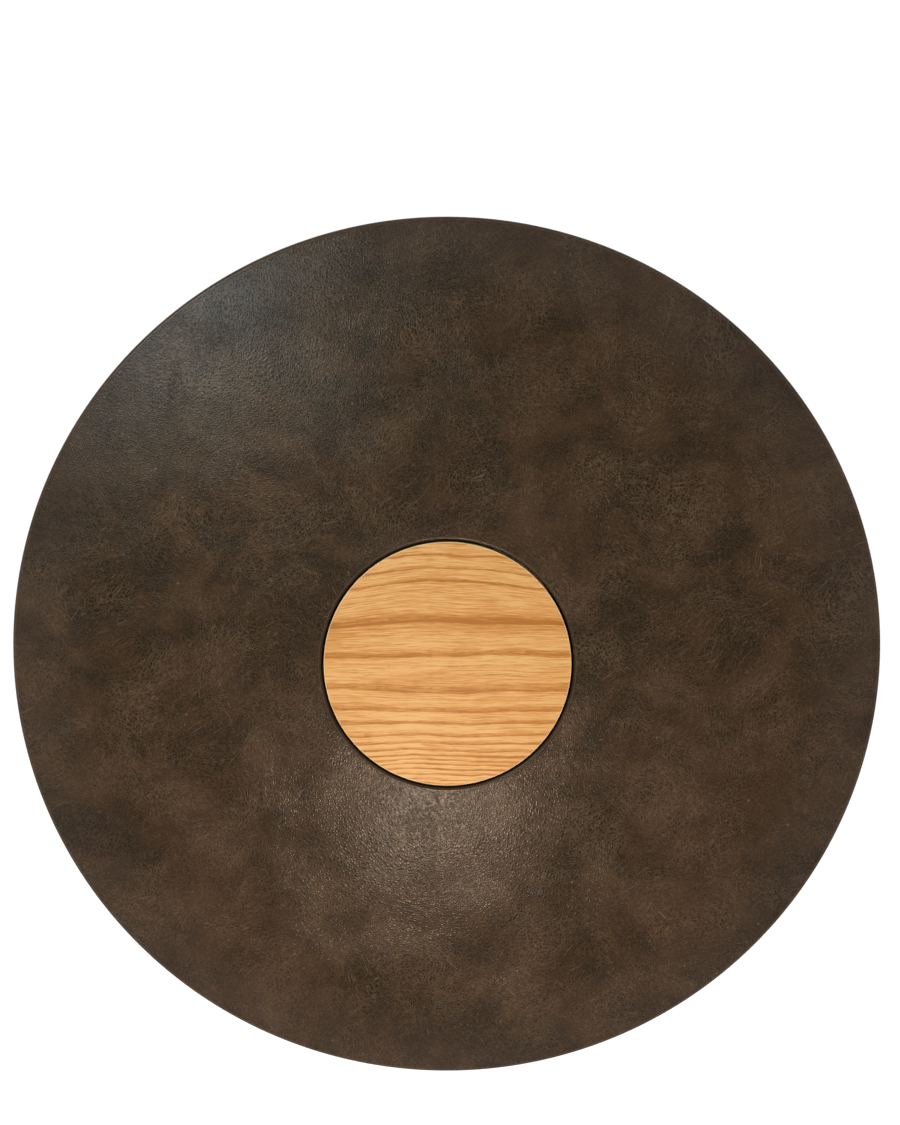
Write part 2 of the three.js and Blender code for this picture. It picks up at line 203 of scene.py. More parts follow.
def lath_ends(node):
    """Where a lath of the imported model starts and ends, and its section."""
    points = corners(node)
    low, high = points[:, 2].min(), points[:, 2].max()
    foot, head = at_level(points, low), at_level(points, high)
    azimuths = [math.atan2(end[:, 1].mean(), end[:, 0].mean()) for end in (foot, head)]
    turn = (azimuths[1] - azimuths[0] + math.pi) % TURN - math.pi
    outward = np.array([math.cos(azimuths[0]), math.sin(azimuths[0])])
    sideways = np.array([-outward[1], outward[0]])
    reach, breadth = foot[:, :2] @ outward, foot[:, :2] @ sideways
    return LathEnds(
        azimuths[0], turn, reach.mean(), np.ptp(breadth), np.ptp(reach), low, high
    )


class Lattice:
    """The hourglass of straight leaning lines that the laths follow."""

    def __init__(self, inner, outer):
        self.end_radius = (inner.radius + outer.radius) / 2
        self.waist = (inner.low + inner.high) / 2
        self.waist_radius = self.end_radius * math.cos(inner.turn / 2)
        half_height = (inner.high - inner.low) / 2
        self.flare = self.end_radius * math.sin(abs(inner.turn) / 2) / half_height

    def radius(self, level):
        return math.hypot(self.waist_radius, self.flare * (level - self.waist))


lath_nodes = nodes_named("_strip_")
lattice = Lattice(lath_ends("inner_strip_01"), lath_ends("outer_strip_01"))
pairs = len(lath_nodes) // 2
top_level = levels_of(COVER)[1]


# Shapes

def linked(name, data):
    """A new object in the scene that holds this data."""
    made = bpy.data.objects.new(name, data)
    bpy.context.scene.collection.objects.link(made)
    return made


def mesh_object(name, points, faces):
    """A new object from points and faces."""
    mesh = bpy.data.meshes.new(name)
    mesh.from_pydata([tuple(point) for point in points], [], faces)
    return linked(name, mesh)


def smoothed(made):
    """Smooths all but the sharp edges of an object."""
    made.data.shade_smooth()
    made.data.set_sharp_from_angle(angle=SHARP_EDGE)
    return made


def cleaned(made):
    """Merges points that meet, turns the faces outward and smooths all but the sharp edges."""
    mesh = bmesh.new()
    mesh.from_mesh(made.data)
    bmesh.ops.remove_doubles(mesh, verts=mesh.verts, dist=SAME_PLACE / 10)
    bmesh.ops.recalc_face_normals(mesh, faces=mesh.faces)
    mesh.to_mesh(made.data)
    mesh.free()
    return smoothed(made)


def sums(steps):
    """Running sums of a row of steps, from nought."""
    return np.concatenate([[0.0], np.cumsum(steps)])


def running(points, axis):
    """Lengths along a grid of points, from nought, with the step that closes it."""
    return sums(np.linalg.norm(np.roll(points, -1, axis) - points, axis=2).mean(1 - axis))


def skinned(name, rings, closed_row=False, closed_rings=True, shift=(0.0, 0.0)):
    """One body through a row of rings of points. Its UVs are in metres: U runs along the row."""
    rings = np.asarray(rings, float)
    rows, columns = rings.shape[:2]
    i, j = np.meshgrid(
        np.arange(rows if closed_row else rows - 1),
        np.arange(columns if closed_rings else columns - 1),
        indexing="ij",
    )
    i, j = i.ravel(), j.ravel()
    ahead, beside = (i + 1) % rows, (j + 1) % columns
    quads = np.stack(
        [i * columns + j, ahead * columns + j, ahead * columns + beside, i * columns + beside], 1
    )
    along = running(rings, 0) + shift[0]
    around = running(rings, 1) + shift[1]
    uvs = np.stack(
        [
            np.stack([along[i], along[i + 1], along[i + 1], along[i]], 1),
            np.stack([around[j], around[j], around[j + 1], around[j + 1]], 1),
        ],
        2,
    ).reshape(-1, 2)
    faces = quads.tolist()
    if closed_rings and not closed_row:
        last = (rows - 1) * columns
        faces += [list(range(columns))[::-1], list(range(last, last + columns))]
        caps = [np.stack([np.full(columns, along[0]), around[:columns][::-1]], 1)]
        caps.append(np.stack([np.full(columns, along[rows - 1]), around[:columns]], 1))
        uvs = np.concatenate([uvs, *caps])
    made = mesh_object(name, rings.reshape(-1, 3), faces)
    layer = made.data.uv_layers.new(name="UVMap")
    layer.data.foreach_set("uv", uvs.astype(np.float32).ravel())
    return cleaned(made)


def turned_rings(outline, azimuths):
    """The points of an outline of (radius, level) at each azimuth."""
    outline = np.array([tuple(point) for point in outline])
    azimuths = np.asarray(azimuths)[:, None]
    radii, levels = outline[None, :, 0], outline[None, :, 1] + 0 * azimuths
    return np.stack([radii * np.cos(azimuths), radii * np.sin(azimuths), levels], 2)


def turned(name, outline, facets=SMOOTH_ROUND, through=False):
    """A turned body. An outline through the axis starts and ends on it."""
    azimuths = np.arange(facets) * TURN / facets
    rings = turned_rings(outline, azimuths)
    return skinned(name, rings, closed_row=True, closed_rings=not through)


def rounded(outline, bends, steps=5):
    """An outline with each corner cut back by its bend and joined by a curve."""
    points = []
    bends = bends if hasattr(bends, "__len__") else [bends] * len(outline)
    for i, bend in enumerate(bends):
        corner = Vector(outline[i])
        if not bend:
            points.append(corner)
            continue
        before = corner + (Vector(outline[i - 1]) - corner).normalized() * bend
        after = corner + (Vector(outline[(i + 1) % len(outline)]) - corner).normalized() * bend
        for step in range(steps + 1):
            t = step / steps
            points.append(before.lerp(corner, t).lerp(corner.lerp(after, t), t))
    return points


def arc(radius, level, bend, start, end):
    """Points of a round fold in an outline."""
    steps = 8
    angles = [start + (end - start) * step / steps for step in range(steps + 1)]
    return [(radius + bend * math.cos(a), level + bend * math.sin(a)) for a in angles]


def box_outline(inner, outer, low, high):
    """The four corners of the section of a plain ring or bar."""
    return [(inner, low), (outer, low), (outer, high), (inner, high)]


def plain_ring(name, node, bend):
    """A turned ring as large as its node, with rounded edges."""
    low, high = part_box(node)
    outline = box_outline(least_radius(node), high.x, low.z, high.z)
    return turned(name, rounded(outline, bend))


def mesh_box(name, *sizes):
    """A plain box of these sizes about the middle."""
    x, y, z = (size / 2 for size in sizes)
    points = [(*point, level) for level in (-z, z) for point in box_outline(-x, x, -y, y)]
    faces = [[3, 2, 1, 0], [4, 5, 6, 7]]
    faces += [[i, (i + 1) % 4, (i + 1) % 4 + 4, i + 4] for i in range(4)]
    return mesh_object(name, points, faces)


def gathered(name, shape, places):
    """One object that holds a copy of a shape at each place. The shape itself is removed."""
    together = bmesh.new()
    for place in places:
        before = len(together.verts)
        together.from_mesh(shape.data)
        together.verts.ensure_lookup_table()
        for vertex in together.verts[before:]:
            vertex.co = place @ vertex.co
    mesh = bpy.data.meshes.new(name)
    together.to_mesh(mesh)
    together.free()
    bpy.data.objects.remove(shape)
    return smoothed(linked(name, mesh))


def bored(made, cutters):
    """Cuts the cutters out of an object, and removes them."""
    for cutter in cutters:
        modifier = made.modifiers.new("bore", "BOOLEAN")
        modifier.object = cutter
        modifier.operation = "DIFFERENCE"
        modifier.solver = "EXACT"
    bpy.context.view_layer.update()
    seen = made.evaluated_get(bpy.context.evaluated_depsgraph_get())
    made.data = bpy.data.meshes.new_from_object(seen)
    made.modifiers.clear()
    for cutter in cutters:
        bpy.data.objects.remove(cutter)
    made.data.set_sharp_from_angle(angle=SHARP_EDGE)
    return made


def settle(made, material, slot, *nodes, body="table"):
    """Gives a piece its material and body, and hides the nodes that it stands for."""
    made.data.materials.clear()
    made.data.materials.append(material)
    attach(made, body)
    if nodes:
        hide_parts(*nodes)
    return made


def around_axis(count):
    """Evenly spaced turns about the table's axis."""
    return [Matrix.Rotation(TURN * i / count, 4, "Z") for i in range(count)]


# Materials

class Recipe:
    """Builds up a material, or the light of the world, node by node."""

    def __init__(self, tree):
        self.tree = tree

    def node(self, kind, inputs=(), output=0, **settings):
        """A node with its settings and inputs, given by name or number. Returns an output."""
        made = self.tree.nodes.new("ShaderNode" + kind)
        for setting, value in settings.items():
            setattr(made, setting, value)
        for socket, value in dict(inputs).items():
            if isinstance(value, bpy.types.NodeSocket):
                self.tree.links.new(value, made.inputs[socket])
            else:
                made.inputs[socket].default_value = value
        return made.outputs[output]

    def place(self, kind="Object"):
        return self.node("TexCoord", output=kind)

    def part(self, place, axis):
        """A place's part along X, Y or Z, numbered from nought."""
        return self.node("SeparateXYZ", {0: place}, axis)

    def distance(self, place):
        """How far a place lies from the middle."""
        return self.node("VectorMath", {0: place}, 1, operation="LENGTH")

    def math(self, operation, *values, clamp=False):
        return self.node("Math", enumerate(values), operation=operation, use_clamp=clamp)

    def times(self, first, second):
        return self.math("MULTIPLY", first, second)

    def scaled(self, value, by, base):
        """A value times a number, on top of a base."""
        return self.math("MULTIPLY_ADD", value, by, base)

    def swing(self, value, reach, base):
        """A value's swing about its middle, up to a reach, on top of a base."""
        return self.scaled(self.math("SUBTRACT", value, 0.5), reach, base)

    def vector(self, operation, *values):
        return self.node("VectorMath", enumerate(values), operation=operation)

    def stretched(self, place, scales):
        return self.vector("MULTIPLY", place, scales)

    def noise(self, place, scale, detail=2.0, rough=0.5, distortion=0.0, output=0):
        inputs = {
            "Vector": place,
            "Scale": scale,
            "Detail": detail,
            "Roughness": rough,
            "Distortion": distortion,
        }
        return self.node("TexNoise", inputs, output)

    def drawn(self, place, scales, *settings, **options):
        """Noise with a scale of its own along each axis."""
        return self.noise(self.stretched(place, scales), 1.0, *settings, **options)

    def strokes(self, place, angle, along, across):
        """Noise drawn out into strokes of a length and width in metres, at an angle."""
        sockets = {"Vector": place, "Angle": angle}
        swept = self.node("VectorRotate", sockets, rotation_type="Z_AXIS")
        return self.drawn(swept, (1 / along, 1 / across, 1 / across), 1.0)

    def cells(self, place, scale, feature="F1"):
        return self.node("TexVoronoi", {"Vector": place, "Scale": scale}, feature=feature)

    def drifted(self, place, drift, reach):
        """A place moved by the swing of a coloured noise, up to a reach along each axis."""
        drift = self.vector("SUBTRACT", drift, (0.5, 0.5, 0.5))
        return self.vector("MULTIPLY_ADD", drift, reach, place)

    def swirl(self, place, scale, reach):
        """A place drifted by slow noise, so that what follows runs in curves."""
        return self.drifted(place, self.noise(place, scale, 1.0, output=1), [reach] * 3)

    def span(self, value, low, high, to_low=0.0, to_high=1.0):
        """The value's place between two bounds, eased and kept between two results."""
        inputs = {0: value, 1: low, 2: high, 3: to_low, 4: to_high}
        return self.node("MapRange", inputs, interpolation_type="SMOOTHSTEP")

    def mix(self, amount, first, second):
        inputs = {0: amount, 6: self.solid(first), 7: self.solid(second)}
        return self.node("Mix", inputs, 2, data_type="RGBA")

    def solid(self, value):
        return value if isinstance(value, bpy.types.NodeSocket) else (*value[:3], 1.0)

    def ramp(self, value, *stops):
        """A colour for each value, from (place, colour) stops."""
        output = self.node("ValToRGB", {0: value})
        elements = output.node.color_ramp.elements
        while len(elements) < len(stops):
            elements.new(0.5)
        for element, (place, tint) in zip(elements, stops):
            element.position = place
            element.color = self.solid(tint)
        return output

    def lookup(self, value, points):
        """A value read from a line through points."""
        output = self.node("FloatCurve", {1: value})
        mapping = output.node.mapping
        curve = mapping.curves[0]
        curve.points[0].location, curve.points[1].location = points[0], points[-1]
        for point in points[1:-1]:
            curve.points.new(*point)
        for point in curve.points:
            point.handle_type = "VECTOR"
        mapping.update()
        return output

    def bump(self, height, distance, under=None, strength=1.0):
        inputs = {"Height": height, "Distance": distance, "Strength": strength}
        if under is not None:
            inputs["Normal"] = under
        return self.node("Bump", inputs)


class Finish(Recipe):
    """A material that is built up on its shader."""

    def __init__(self, name, sockets=()):
        self.material = bpy.data.materials.new(name)
        self.material.use_nodes = True
        super().__init__(self.material.node_tree)
        self.shader = self.tree.nodes["Principled BSDF"]
        for socket, value in dict(sockets).items():
            self.shader.inputs[socket].default_value = value

    def done(self, tint, roughness=None, normal=None):
        sockets = ("Base Color", "Roughness", "Normal")
        for socket, value in zip(sockets, (tint, roughness, normal)):
            if value is not None:
                self.tree.links.new(value, self.shader.inputs[socket])
        return self.material


def hide_hairs(finish, place, curled, grain):
    """Light hairlines: short strokes that run two ways, and a broken cobweb of fine veins."""
    sides = finish.span(finish.noise(place, 19.0, 2.0), 0.42, 0.58)
    along, across = 6.5 * MM, 1.3 * MM
    hairs = [finish.strokes(curled, angle, along, across) for angle in (0.5, 1.9)]
    hairs = finish.span(finish.mix(sides, *hairs), 0.50, 0.72)
    veins = finish.cells(curled, 0.33 * grain, "DISTANCE_TO_EDGE")
    veins = finish.span(veins, 0.01, 0.065, 1.0, 0.0)
    broken = finish.span(finish.noise(curled, 95.0, 2.0), 0.44, 0.58, 0.05, 0.8)
    return finish.math("MAXIMUM", hairs, finish.times(veins, broken))


def hide_marks(finish, place, curved):
    """Long scratches that run three ways, and flecks, both only here and there."""
    along, across = 60 * MM, 1.2 * MM
    marks = 0.0
    for angle, scale in ((1.2, 9.0), (-0.5, 12.0), (2.5, 7.0)):
        scratches = finish.span(finish.strokes(curved, angle, along, across), 0.63, 0.78)
        here = finish.span(finish.noise(place, scale, 2.0), 0.46, 0.66)
        marks = finish.math("MAXIMUM", marks, finish.times(scratches, here))
    flecks = finish.span(finish.cells(place, 46.0), 0.045, 0.085, 1.0, 0.0)
    few = finish.span(finish.noise(place, 61.0, 0.0), 0.60, 0.66)
    return finish.math("MAXIMUM", marks, finish.times(flecks, few))


def hide_finish(name, look, folds=None):
    """Waxed brown hide: clouded colour, curved grain, light hairlines and flecks.

    The folds are the radii of a top's hole and rim. There the hide is smooth, with painted shade
    where it turns down, a painted highlight along each crest where it is also rubbed, and a
    painted shadow near black deep in the hole; towards the rim a grey sheen is painted into it.
    """
    finish = Finish(name, {"Specular IOR Level": look.hide_gloss})
    place = finish.place()
    curved = finish.swirl(place, 9.0, 0.075)
    curled = finish.swirl(curved, 60.0, 0.006)

    clouds = finish.noise(place, 10.0, 3.0, 0.5, 0.4)
    patches = finish.noise(curved, 30.0, 3.0, 0.5, 0.2)
    tint = finish.ramp(
        finish.swing(patches, 0.73, clouds),
        (0.36, look.hide_dark), (0.52, look.hide_brown), (0.76, look.hide_worn),
    )

    grain = 1.0 / look.grain
    edges = finish.cells(curled, grain, "DISTANCE_TO_EDGE")
    creases = finish.span(edges, 0.0, 0.18, 1.0, 0.0)
    hairs = hide_hairs(finish, place, curled, grain)
    lines = finish.math("MAXIMUM", finish.times(creases, 0.60), hairs)
    felted = finish.span(finish.noise(curved, 17.0, 3.0), 0.38, 0.66)
    tint = finish.mix(finish.times(lines, finish.scaled(felted, 0.36, 0.29)), tint, look.hide_hair)
    pits = finish.span(finish.cells(curled, 0.9 * grain), 0.10, 0.30, 0.06, 0.0)
    tint = finish.mix(pits, tint, look.hide_dark)
    marks = hide_marks(finish, place, curved)
    tint = finish.mix(finish.times(marks, 0.75), tint, look.hide_hair)

    sheen = finish.scaled(patches, -0.12, 0.284)
    roughness = finish.scaled(creases, 0.05, sheen)
    relief = 1.0
    if folds:
        hole, rim = folds
        radius = finish.distance(finish.stretched(place, (1.0, 1.0, 0.0)))
        from_hole = finish.math("SUBTRACT", radius, hole)
        from_rim = finish.math("SUBTRACT", rim, radius)
        nearest = finish.math("MINIMUM", from_hole, finish.math("ABSOLUTE", from_rim))
        beside = finish.math("ABSOLUTE", nearest)
        for amount, shade in (
            # Painted sheen: a grey haze towards the rim.
            (finish.span(from_rim, 0.0, 110 * MM, 0.22, 0.0), look.hide_rim_sheen),
            # Painted shade: the hide darkened where it turns down at each fold.
            (finish.span(nearest, -0.6 * MM, 0.3 * MM, 0.4, 0.0), look.hide_dark),
            # Painted highlight: a light line along the crest of each fold, where the hide is also
            # rubbed.
            (finish.span(beside, 0.1 * MM, 0.8 * MM, 0.34, 0.0), look.hide_hair),
            # Painted shadow: near black on the hide deep in the hole, round the disc.
            (finish.span(from_hole, -3.2 * MM, -2.2 * MM, 0.92, 0.0), BLACK),
        ):
            tint = finish.mix(amount, tint, shade)
        relief = finish.span(nearest, 0.3 * MM, 2.5 * MM, 0.12, 1.0)
        roughness = finish.times(roughness, finish.span(nearest, 0.0, 2.5 * MM, 0.8, 1.0))
    pebbles = finish.span(edges, 0.0, 0.42)
    normal = finish.bump(pebbles, 0.036 * look.grain, strength=relief)
    pores = finish.noise(curled, 1.6 * grain, 2.0, 0.6)
    normal = finish.bump(pores, 0.010 * look.grain, normal)
    return finish.done(tint, roughness, normal)


# Growth lines of the oak disc, from its lower to its upper edge, as shares of its radius.
OAK_LINE_SHARES = (
    -1.00, -0.962, -0.924, -0.882, -0.837, -0.804, -0.763, -0.713, -0.650, -0.583,
    -0.480, -0.367, -0.200, 0.070, 0.350, 0.685, 0.790, 0.900, 1.00,
)


def oak_lines(finish, lift, across):
    """Growth lines: each starts sharply and fades towards the next, at a depth of its own."""
    steps = len(OAK_LINE_SHARES) - 1
    points = [((line + 1) / 2, i / steps) for i, line in enumerate(OAK_LINE_SHARES)]
    count = finish.times(finish.lookup(finish.scaled(lift, 0.5, 0.5), points), float(steps))
    since = finish.math("FRACT", count)
    ring = finish.math("FLOOR", count)
    ring_tone = finish.node("TexWhiteNoise", {1: ring}, noise_dimensions="1D")
    fade = finish.span(across, -0.9, 0.2, 0.55, 0.24)
    start = finish.math("SUBTRACT", 1.0, finish.times(fade, 0.22))
    before = finish.span(since, start, 1.0)
    after = finish.span(since, 0.0, fade, 1.0, 0.0)
    depth = finish.scaled(ring_tone, 0.36, 0.48)
    return finish.times(finish.math("MAXIMUM", before, after), depth)


def oak_finish(look, radius):
    """Plain-sawn oak: growth lines that crowd towards one edge, long fibres and short pores."""
    finish = Finish("oiled oak", {"Specular IOR Level": 0.3})
    place = finish.stretched(finish.place(), (1 / radius, 1 / radius, 0.0))
    along, across = finish.part(place, 0), finish.part(place, 1)
    lift = finish.swing(finish.drawn(place, (0.9, 1.6, 1.0), 1.0), 0.12, across)
    lift = finish.swing(finish.drawn(place, (4.0, 16.0, 1.0), 3.0), 0.025, lift)
    bow = finish.times(finish.times(along, along), finish.span(across, 0.1, 0.95))
    lift = finish.scaled(bow, 0.16, lift)
    line = oak_lines(finish, lift, across)

    run = finish.node("CombineXYZ", {0: along, 1: lift})
    fibres = finish.drawn(run, (1.3, 52.0, 1.0), 5.0, 0.75)
    fine = finish.drawn(run, (4.5, 120.0, 1.0), 2.0, 0.6)
    broad = finish.drawn(place, (0.8, 2.6, 1.0), 2.0)
    pores = finish.span(finish.drawn(place, (10.0, 110.0, 1.0), 1.0), 0.56, 0.66)
    porous = finish.times(pores, finish.scaled(line, 1.6, 0.25))
    from_band = finish.math("ABSOLUTE", finish.math("SUBTRACT", lift, 0.35))
    tone = finish.scaled(finish.span(from_band, 0.0, 0.15, 1.0, 0.0), 0.32, line)
    for strands, reach in ((fibres, 1.9), (fine, 1.9), (broad, 0.9)):
        tone = finish.swing(strands, reach, tone)
    tone = finish.scaled(porous, 0.45, tone)
    # The wood's tone is raised a little towards +Y, so the disc is darker on that side.
    darker_towards_plus_y = finish.span(across, -1.0, 0.1, 0.10, 0.18)
    tone = finish.math("ADD", tone, darker_towards_plus_y, clamp=True)
    tint = finish.ramp(
        tone, (0.0, look.oak_pale), (0.30, look.oak_light), (1.0, look.oak_dark)
    )
    # Painted highlight: a pale ring at the disc's rounded edge, where it catches the light.
    edge = finish.span(finish.distance(place), 0.990, 0.996, 0.0, 0.7)
    tint = finish.mix(edge, tint, OAK_EDGE_HIGHLIGHT)

    roughness = finish.scaled(fibres, 0.2, 0.38)
    hollows = finish.math("ADD", line, pores)
    height = finish.math("SUBTRACT", finish.times(fine, 0.5), hollows)
    return finish.done(tint, roughness, finish.bump(height, 0.12 * MM, strength=0.5))


def timber_finish(name, light, dark, spacing, roughness=0.55):
    """Wood with its grain along U. The tone attribute tells like pieces apart."""
    finish = Finish(name, {"Specular IOR Level": 0.35})
    run = finish.place("UV")
    bends = finish.drawn(run, (3.0, 14.0, 1.0), 2.0, output=1)
    run = finish.drifted(run, bends, (0.0, 2.2 * spacing, 0.0))
    lines = finish.drawn(run, (1.6, 1 / spacing, 1.0), 3.0, 0.6)
    fibres = finish.drawn(run, (14.0, 5.5 / spacing, 1.0), 3.0, 0.62)
    pores = finish.drawn(run, (70.0, 7.0 / spacing, 1.0), 1.0)
    pores = finish.span(pores, 0.60, 0.72)
    tone = finish.swing(fibres, 0.9, finish.span(lines, 0.30, 0.68))
    tint = finish.mix(finish.math("ADD", tone, 0.0, clamp=True), dark, light)
    tint = finish.mix(finish.times(pores, 0.55), tint, [part * 0.45 for part in dark])
    own = finish.node("Attribute", output=2, attribute_name="tone")
    grime = finish.noise(finish.place(), 16.0, 3.0, 0.6)
    shade = finish.times(finish.scaled(own, 0.26, 1.0), finish.span(grime, 0.25, 0.6, 0.86, 1.04))
    tint = finish.node("HueSaturation", {"Value": shade, "Color": tint})
    rough = finish.scaled(fibres, 0.25, roughness - 0.12)
    height = finish.math("SUBTRACT", finish.times(fibres, 1.2), pores)
    return finish.done(tint, rough, finish.bump(height, 0.25 * MM, strength=0.6))


def plywood_finish():
    """Birch plywood: thin plies at the edges and pale figure on the faces."""
    finish = Finish("birch plywood", {"Specular IOR Level": 0.3})
    place = finish.place()
    ply = 2.9 * MM
    plies = finish.math("FRACT", finish.times(finish.part(place, 2), 1 / ply))
    glue = finish.math("ABSOLUTE", finish.math("SUBTRACT", plies, 0.5))
    glue = finish.span(glue, 0.12, 0.2)
    figure = finish.drawn(place, (5.0, 60.0, 60.0), 4.0, 0.6, 0.4)
    fibres = finish.drawn(place, (40.0, 900.0, 900.0), 2.0)
    tint = finish.ramp(figure, (0.32, BIRCH_FIGURE), (0.66, BIRCH))
    upright = finish.part(finish.node("NewGeometry", output=1), 2)
    edge = finish.span(finish.math("ABSOLUTE", upright), 0.3, 0.7, 1.0, 0.0)
    tint = finish.mix(edge, tint, finish.mix(glue, BIRCH_GLUE, BIRCH_PLY))
    tint = finish.mix(finish.span(fibres, 0.4, 0.7, 0.0, 0.3), tint, BIRCH_FIBRE)
    rough = finish.scaled(fibres, 0.2, 0.55)
    return finish.done(tint, rough, finish.bump(fibres, 0.12 * MM, strength=0.5))


def felt_finish():
    """Charcoal wool felt."""
    finish = Finish("wool felt", {"Roughness": 0.95, "Sheen Weight": 0.4})
    place = finish.place()
    wool = finish.noise(finish.swirl(place, 300.0, 0.003), 900.0, 4.0, 0.7, 1.2)
    clumps = finish.noise(place, 140.0, 3.0)
    tone = finish.times(wool, finish.scaled(clumps, 0.6, 0.7))
    tint = finish.ramp(tone, (0.3, WOOL_DARK), (0.7, WOOL_LIGHT))
    return finish.done(tint, normal=finish.bump(wool, 0.5 * MM))


def thong_finish(look):
    """Rawhide thong: pale tan, with darker fibres and brown stains."""
    finish = Finish("rawhide", {"Specular IOR Level": 0.45})
    run = finish.place("UV")
    broad = finish.drawn(run, (18.0, 160.0, 1.0), 3.0)
    stains = finish.noise(finish.place(), 24.0, 3.0, 0.6)
    fibres = finish.drawn(run, (60.0, 1500.0, 1.0), 2.0)
    tone = finish.swing(fibres, 0.6, broad)
    tint = finish.ramp(tone, (0.3, [part * 0.5 for part in look.thong]), (0.62, look.thong))
    tint = finish.mix(finish.span(stains, 0.5, 0.7, 0.0, 0.5), tint, RAWHIDE_STAIN)
    rough = finish.scaled(fibres, 0.25, 0.42)
    return finish.done(tint, rough, finish.bump(tone, 0.2 * MM))


def metal_finish(name, tint, dark):
    """Turned metal with fine scratches and dull patches."""
    finish = Finish(name, {"Metallic": 1.0})
    place = finish.place()
    dull = finish.noise(place, 260.0, 3.0, 0.6)
    scratches = finish.drawn(place, (900.0, 4000.0, 900.0), 2.0)
    shade = finish.mix(finish.span(dull, 0.35, 0.7), tint, dark)
    rough = finish.scaled(dull, 0.35, 0.2)
    return finish.done(shade, rough, finish.bump(scratches, 0.04 * MM))


# Pieces

def hide_line(inset, crease=0.0):
    """The hide's line from inside the hole, over the top and rim, to the end of the hem."""
    low, high = levels_of(COVER)
    hole, rim = radii_at(COVER, high)
    inner, outer = least_radius(COVER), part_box(COVER)[1].x
    hem = radii_at(COVER, low)[0]
    hole_fold, rim_fold = hole - inner, outer - rim
    line = [(inner + inset, levels_of("top_board")[0] + SAME_PLACE)]
    line += arc(hole, high - hole_fold, hole_fold - inset, math.pi, math.pi / 2)
    if crease:
        crest, ease, spacing = 0.35 * MM, 0.8 * MM, 4.0 * MM
        start, end = hole + crest + ease, rim - crest - ease
        steps = round((end - start) / spacing)
        line += [(hole + crest, high)]
        line += [(start + (end - start) * i / steps, high - crease) for i in range(steps + 1)]
        line += [(rim - crest, high)]
    line += arc(rim, high - rim_fold, rim_fold - inset, math.pi / 2, 0)
    line += arc(rim, low + rim_fold, rim_fold - inset, 0, -math.pi / 2)
    return line + [(hem, low + inset)]


class EQUIPALE_OT_leather_top(bpy.types.Operator):
    """Cover the top with one hide that turns down at the rim and in the hole"""

    bl_idname = "equipale.leather_top"
    bl_label = "Leather top"
    bl_options = {"REGISTER", "UNDO"}

    def execute(self, context):
        look = context.scene.equipale_top
        low, board_low = levels_of(COVER)[0], levels_of("top_board")[0]
        hole, rim = radii_at(COVER, top_level)
        thickness = np.diff(radii_at(COVER, board_low + FIT_GAP))[0]
        outline = hide_line(0.0, look.crease) + hide_line(thickness)[::-1]
        made = turned("leather_cover", outline, facets=320)
        ease, waves = 12 * MM, 21.0
        for vertex in made.data.vertices:
            if top_level - vertex.co.z < 2 * look.crease:
                radius = vertex.co.xy.length
                inward = min(radius - hole, rim - radius) / ease
                wave = 0.5 + 0.5 * noise.noise(vertex.co * waves)
                vertex.co.z -= look.hide_swell * wave * min(max(inward, 0.0), 1.0)
        settle(made, hide_finish("waxed brown hide", look, (hole, rim)), "cover_leather", COVER)
        across_hem = rim - radii_at(COVER, low)[0]
        return {"FINISHED"}


class EQUIPALE_OT_oak_disc(bpy.types.Operator):
    """Lay the oak disc in the hole of the top"""

    bl_idname = "equipale.oak_disc"
    bl_label = "Oak disc"
    bl_options = {"REGISTER", "UNDO"}

    def execute(self, context):
        look = context.scene.equipale_top
        low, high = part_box("centre_disc")
        bends = [0, look.disc_edge, look.disc_edge, 0]
        outline = rounded(box_outline(0, high.x, low.z, high.z), bends)
        made = turned("oak_disc", outline, through=True)
        settle(made, oak_finish(look, high.x), "oak", "centre_disc", body="disc")
        return {"FINISHED"}


def screw_axis(node):
    """Where the middle of a screw's head lies, and the turn from +Z to the way that it points."""
    points = corners(node)
    axis = np.ptp(points, axis=0).argmax()
    way = np.zeros(3)
    way[axis] = 1.0 if axis == 2 else np.sign(points.mean(0)[axis])
    along = points @ way
    head = points[along < along.min() + SAME_PLACE].mean(0)
    head[axis] = points[along.argmin()][axis]
    turn = Vector(way).to_track_quat("Z", "Y").to_matrix().to_4x4()
    return Matrix.Translation(Vector(head)) @ turn


def screw_shape(name, node, spare=0.0, lift=0.0):
    """A countersunk wood screw as long as its node, or with some spare the room that it needs."""
    head, neck = 4.4 * MM + spare, 2.0 * MM + spare
    rim, cone, point = 0.35 * MM, 3.1 * MM, 5 * MM
    end = np.ptp(corners(node), axis=0).max()
    outline = [(0, -lift), (head, -lift), (head, rim), (neck, cone), (neck, end - point)]
    outline += [(0, end + spare)]
    return turned(name, outline, facets=40, through=True)


def screw_room(node):
    """A cutter for the room that a screw needs."""
    cutter = screw_shape("room", node, 0.15 * MM, 2 * MM)
    cutter.matrix_world = screw_axis(node)
    return cutter


class EQUIPALE_OT_top_boards(bpy.types.Operator):
    """Build the board, its edge ring, the seat plate and the felt under the disc"""

    bl_idname = "equipale.top_boards"
    bl_label = "Boards and felt"
    bl_options = {"REGISTER", "UNDO"}

    def execute(self, context):
        plywood = plywood_finish()
        for name, node, bend in (
            ("round_board", "top_board", 1.5 * MM),
            ("edge_ring", "top_edge_ring", 2.0 * MM),
            ("seat_plate", "disc_seat_plate", 1.2 * MM),
        ):
            made = plain_ring(name, node, bend)
            if node == "disc_seat_plate":
                bored(made, [screw_room(screw) for screw in nodes_named("seat_screw")])
            settle(made, plywood, "plywood", node)
        node = "disc_felt_ring"
        felt = plain_ring("felt_ring", node, 0.5 * MM)
        settle(felt, felt_finish(), "felt", node)
        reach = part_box(node)[1].x
        area = math.pi * (reach**2 - least_radius(node) ** 2)
        return {"FINISHED"}


